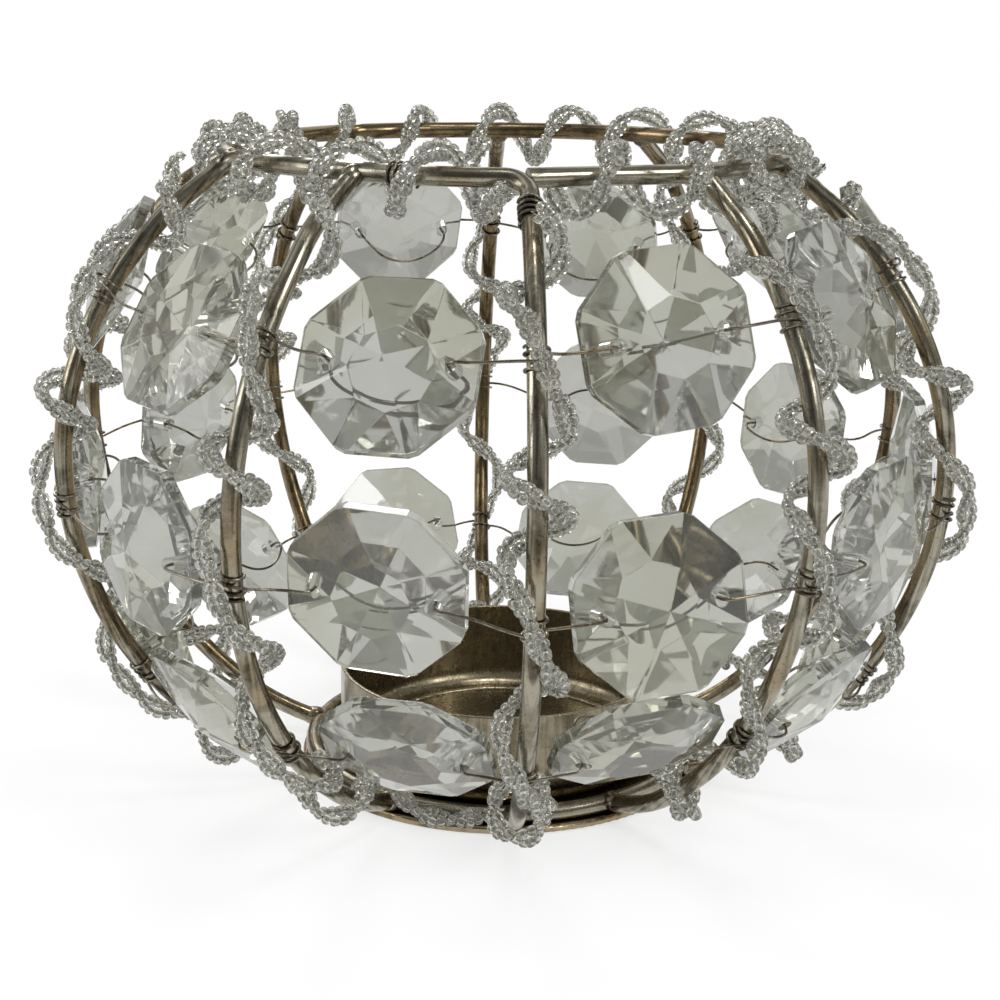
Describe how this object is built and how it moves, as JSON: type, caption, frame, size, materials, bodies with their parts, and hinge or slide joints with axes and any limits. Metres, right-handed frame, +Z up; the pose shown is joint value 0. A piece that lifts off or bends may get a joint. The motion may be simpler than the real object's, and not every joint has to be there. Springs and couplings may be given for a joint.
{
  "type": "globe candle holder",
  "caption": "Globe-shaped tealight holder of bent rods with faceted crystals on wires, wound seed-bead garlands and a shallow candle cup.",
  "frame": {"origin": "centre of the base plate's underside, on the surface the holder stands on", "axes": "+Z up along the axis of the candle cup; -Y towards the pictured front; +X to the right seen from the front"},
  "size_m": [0.1412, 0.145, 0.1009],
  "materials": {
    "rod": "antique champagne metal paint, satin, rubbed back to brown in the low places",
    "cup": "mottled dark bronze patina, satin, raw bright rim",
    "wire": "dull dark grey binding wire",
    "crystal": "clear cut crystal, polished facets",
    "bead": "clear glossy seed beads"
  },
  "bodies": {
    "frame": {"bow_front_left": "rod", "bow_back": "rod", "hook_rib_front_right": "rod", "hook_rib_right": "rod", "rib_front_left": "rod", "rib_back_right": "rod", "rib_back": "rod", "rib_left": "rod", "top_bar_right": "rod", "top_bar_left": "rod", "base_ring": "rod", "base_plate": "cup", "candle_cup": "cup", "wire_row_top": "wire", "wire_row_mid": "wire", "wire_row_low": "wire", "lashings": "wire", "garland_rib_01": "bead", "garland_rib_02": "bead", "garland_rib_03": "bead", "garland_rib_04": "bead", "garland_rib_05": "bead", "garland_rib_06": "bead", "garland_rib_07": "bead", "garland_rib_08": "bead", "garland_rib_09": "bead", "garland_rib_10": "bead", "garland_mouth": "bead", "garland_base": "bead"},
    "crystal_top_01": {"crystal_top_01": "crystal"},
    "crystal_top_02": {"crystal_top_02": "crystal"},
    "crystal_top_03": {"crystal_top_03": "crystal"},
    "crystal_top_04": {"crystal_top_04": "crystal"},
    "crystal_top_05": {"crystal_top_05": "crystal"},
    "crystal_top_06": {"crystal_top_06": "crystal"},
    "crystal_top_07": {"crystal_top_07": "crystal"},
    "crystal_top_08": {"crystal_top_08": "crystal"},
    "crystal_top_09": {"crystal_top_09": "crystal"},
    "crystal_top_10": {"crystal_top_10": "crystal"},
    "crystal_mid_01": {"crystal_mid_01": "crystal"},
    "crystal_mid_02": {"crystal_mid_02": "crystal"},
    "crystal_mid_03": {"crystal_mid_03": "crystal"},
    "crystal_mid_04": {"crystal_mid_04": "crystal"},
    "crystal_mid_05": {"crystal_mid_05": "crystal"},
    "crystal_mid_06": {"crystal_mid_06": "crystal"},
    "crystal_mid_07": {"crystal_mid_07": "crystal"},
    "crystal_mid_08": {"crystal_mid_08": "crystal"},
    "crystal_mid_09": {"crystal_mid_09": "crystal"},
    "crystal_mid_10": {"crystal_mid_10": "crystal"},
    "crystal_low_01": {"crystal_low_01": "crystal"},
    "crystal_low_02": {"crystal_low_02": "crystal"},
    "crystal_low_03": {"crystal_low_03": "crystal"},
    "crystal_low_04": {"crystal_low_04": "crystal"},
    "crystal_low_05": {"crystal_low_05": "crystal"},
    "crystal_low_06": {"crystal_low_06": "crystal"},
    "crystal_low_07": {"crystal_low_07": "crystal"},
    "crystal_low_08": {"crystal_low_08": "crystal"},
    "crystal_low_09": {"crystal_low_09": "crystal"},
    "crystal_low_10": {"crystal_low_10": "crystal"}
  },
  "joints": [
    {"name": "rock_top_01", "type": "hinge", "parent": "frame", "child": "crystal_top_01", "pos_m": [0.0196, -0.05491, 0.07796], "axis": [0.9181, 0.3872, 0.0852], "range_deg": [-10, 10]},
    {"name": "rock_top_02", "type": "hinge", "parent": "frame", "child": "crystal_top_02", "pos_m": [0.04434, -0.03612, 0.07924], "axis": [0.5838, 0.8082, 0.0776], "range_deg": [-10, 10]},
    {"name": "rock_top_03", "type": "hinge", "parent": "frame", "child": "crystal_top_03", "pos_m": [0.05482, -0.00285, 0.08089], "axis": [0.0836, 0.9957, -0.0406], "range_deg": [-10, 10]},
    {"name": "rock_top_04", "type": "hinge", "parent": "frame", "child": "crystal_top_04", "pos_m": [0.04487, 0.03472, 0.07902], "axis": [-0.5829, 0.811, -0.0501], "range_deg": [-10, 10]},
    {"name": "rock_top_05", "type": "hinge", "parent": "frame", "child": "crystal_top_05", "pos_m": [0.01622, 0.05579, 0.07527], "axis": [-0.9627, 0.2703, -0.013], "range_deg": [-10, 10]},
    {"name": "rock_top_06", "type": "hinge", "parent": "frame", "child": "crystal_top_06", "pos_m": [-0.01929, 0.05462, 0.07775], "axis": [-0.9318, -0.3628, 0.0125], "range_deg": [-10, 10]},
    {"name": "rock_top_07", "type": "hinge", "parent": "frame", "child": "crystal_top_07", "pos_m": [-0.04898, 0.0292, 0.07825], "axis": [-0.5052, -0.8629, 0.0116], "range_deg": [-10, 10]},
    {"name": "rock_top_08", "type": "hinge", "parent": "frame", "child": "crystal_top_08", "pos_m": [-0.0574, -0.00686, 0.07839], "axis": [0.1152, -0.9933, -0.0053], "range_deg": [-10, 10]},
    {"name": "rock_top_09", "type": "hinge", "parent": "frame", "child": "crystal_top_09", "pos_m": [-0.04225, -0.03992, 0.0759], "axis": [0.6568, -0.753, -0.0403], "range_deg": [-10, 10]},
    {"name": "rock_top_10", "type": "hinge", "parent": "frame", "child": "crystal_top_10", "pos_m": [-0.01435, -0.05745, 0.0748], "axis": [0.9731, -0.2304, -0.0083], "range_deg": [-10, 10]},
    {"name": "rock_mid_01", "type": "hinge", "parent": "frame", "child": "crystal_mid_01", "pos_m": [0.01919, -0.06189, 0.04573], "axis": [0.9467, 0.3136, 0.073], "range_deg": [-10, 10]},
    {"name": "rock_mid_02", "type": "hinge", "parent": "frame", "child": "crystal_mid_02", "pos_m": [0.05026, -0.04154, 0.04824], "axis": [0.6413, 0.7653, 0.0556], "range_deg": [-10, 10]},
    {"name": "rock_mid_03", "type": "hinge", "parent": "frame", "child": "crystal_mid_03", "pos_m": [0.06316, -0.00335, 0.04886], "axis": [0.0512, 0.9986, -0.0159], "range_deg": [-10, 10]},
    {"name": "rock_mid_04", "type": "hinge", "parent": "frame", "child": "crystal_mid_04", "pos_m": [0.05101, 0.03855, 0.04481], "axis": [-0.605, 0.7959, -0.0217], "range_deg": [-10, 10]},
    {"name": "rock_mid_05", "type": "hinge", "parent": "frame", "child": "crystal_mid_05", "pos_m": [0.01784, 0.06154, 0.04387], "axis": [-0.9651, 0.2615, -0.0112], "range_deg": [-10, 10]},
    {"name": "rock_mid_06", "type": "hinge", "parent": "frame", "child": "crystal_mid_06", "pos_m": [-0.0231, 0.06009, 0.04728], "axis": [-0.934, -0.3572, 0.0118], "range_deg": [-10, 10]},
    {"name": "rock_mid_07", "type": "hinge", "parent": "frame", "child": "crystal_mid_07", "pos_m": [-0.05439, 0.03266, 0.04776], "axis": [-0.5159, -0.8566, 0.0102], "range_deg": [-10, 10]},
    {"name": "rock_mid_08", "type": "hinge", "parent": "frame", "child": "crystal_mid_08", "pos_m": [-0.06412, -0.00766, 0.04833], "axis": [0.1166, -0.993, 0.0165], "range_deg": [-10, 10]},
    {"name": "rock_mid_09", "type": "hinge", "parent": "frame", "child": "crystal_mid_09", "pos_m": [-0.04738, -0.04366, 0.04722], "axis": [0.6724, -0.7387, -0.0466], "range_deg": [-10, 10]},
    {"name": "rock_mid_10", "type": "hinge", "parent": "frame", "child": "crystal_mid_10", "pos_m": [-0.01566, -0.06254, 0.04761], "axis": [0.9725, -0.226, -0.057], "range_deg": [-10, 10]},
    {"name": "rock_low_01", "type": "hinge", "parent": "frame", "child": "crystal_low_01", "pos_m": [0.01756, -0.05231, 0.02369], "axis": [0.9633, 0.2543, 0.0857], "range_deg": [-10, 10]},
    {"name": "rock_low_02", "type": "hinge", "parent": "frame", "child": "crystal_low_02", "pos_m": [0.04261, -0.03589, 0.02313], "axis": [0.6392, 0.769, -0.009], "range_deg": [-10, 10]},
    {"name": "rock_low_03", "type": "hinge", "parent": "frame", "child": "crystal_low_03", "pos_m": [0.05393, -0.00276, 0.02275], "axis": [0.0424, 0.999, -0.0116], "range_deg": [-10, 10]},
    {"name": "rock_low_04", "type": "hinge", "parent": "frame", "child": "crystal_low_04", "pos_m": [0.04361, 0.03251, 0.02227], "axis": [-0.6055, 0.7957, -0.013], "range_deg": [-10, 10]},
    {"name": "rock_low_05", "type": "hinge", "parent": "frame", "child": "crystal_low_05", "pos_m": [0.01422, 0.05217, 0.0202], "axis": [-0.9648, 0.263, 0], "range_deg": [-10, 10]},
    {"name": "rock_low_06", "type": "hinge", "parent": "frame", "child": "crystal_low_06", "pos_m": [-0.01985, 0.05117, 0.02227], "axis": [-0.9361, -0.3516, 0.0142], "range_deg": [-10, 10]},
    {"name": "rock_low_07", "type": "hinge", "parent": "frame", "child": "crystal_low_07", "pos_m": [-0.04627, 0.02797, 0.02265], "axis": [-0.5219, -0.853, 0.0071], "range_deg": [-10, 10]},
    {"name": "rock_low_08", "type": "hinge", "parent": "frame", "child": "crystal_low_08", "pos_m": [-0.05467, -0.00649, 0.02265], "axis": [0.124, -0.9922, -0.0083], "range_deg": [-10, 10]},
    {"name": "rock_low_09", "type": "hinge", "parent": "frame", "child": "crystal_low_09", "pos_m": [-0.04015, -0.03655, 0.02081], "axis": [0.6925, -0.7192, -0.0568], "range_deg": [-10, 10]},
    {"name": "rock_low_10", "type": "hinge", "parent": "frame", "child": "crystal_low_10", "pos_m": [-0.0125, -0.05227, 0.02234], "axis": [0.9695, -0.2452, 0.0029], "range_deg": [-10, 10]}
  ]
}
